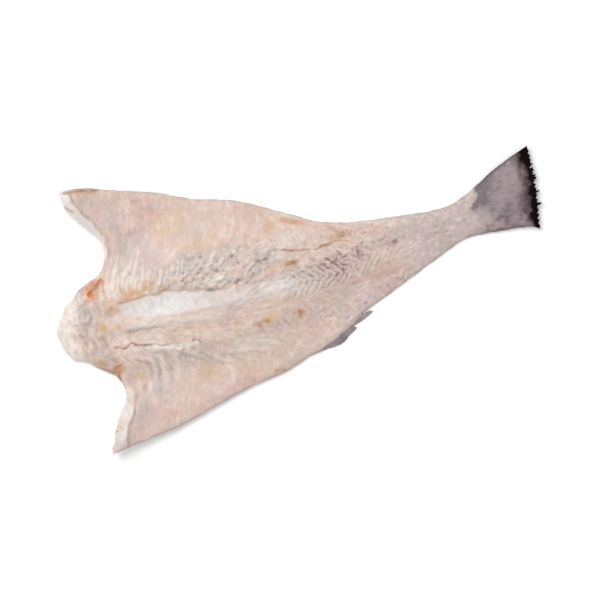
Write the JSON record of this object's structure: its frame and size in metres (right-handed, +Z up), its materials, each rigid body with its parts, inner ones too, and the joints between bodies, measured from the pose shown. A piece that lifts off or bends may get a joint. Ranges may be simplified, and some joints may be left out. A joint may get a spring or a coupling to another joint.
{
  "type": "split salted and dried cod",
  "caption": "Salted and dried cod, split and opened flat: pale cut flesh up, belly flaps spread at the front, dark frayed tail fin.",
  "frame": {"origin": "centre of the bounding box's base, on the flat of the skin that the fish rests on", "axes": "+X along the fish from the nape to the tail fin, +Y across it towards the belly flap on its left, +Z up out of the cut flesh"},
  "size_m": [0.6068, 0.321, 0.0261],
  "materials": {
    "flesh": "dull, dry and slightly waxy cut flesh",
    "skin": "dull grey-olive mottled fish skin",
    "fin": "thin dry grey fin with fine rays"
  },
  "bodies": {
    "root": {"split_cod": "flesh"}
  },
  "joints": []
}
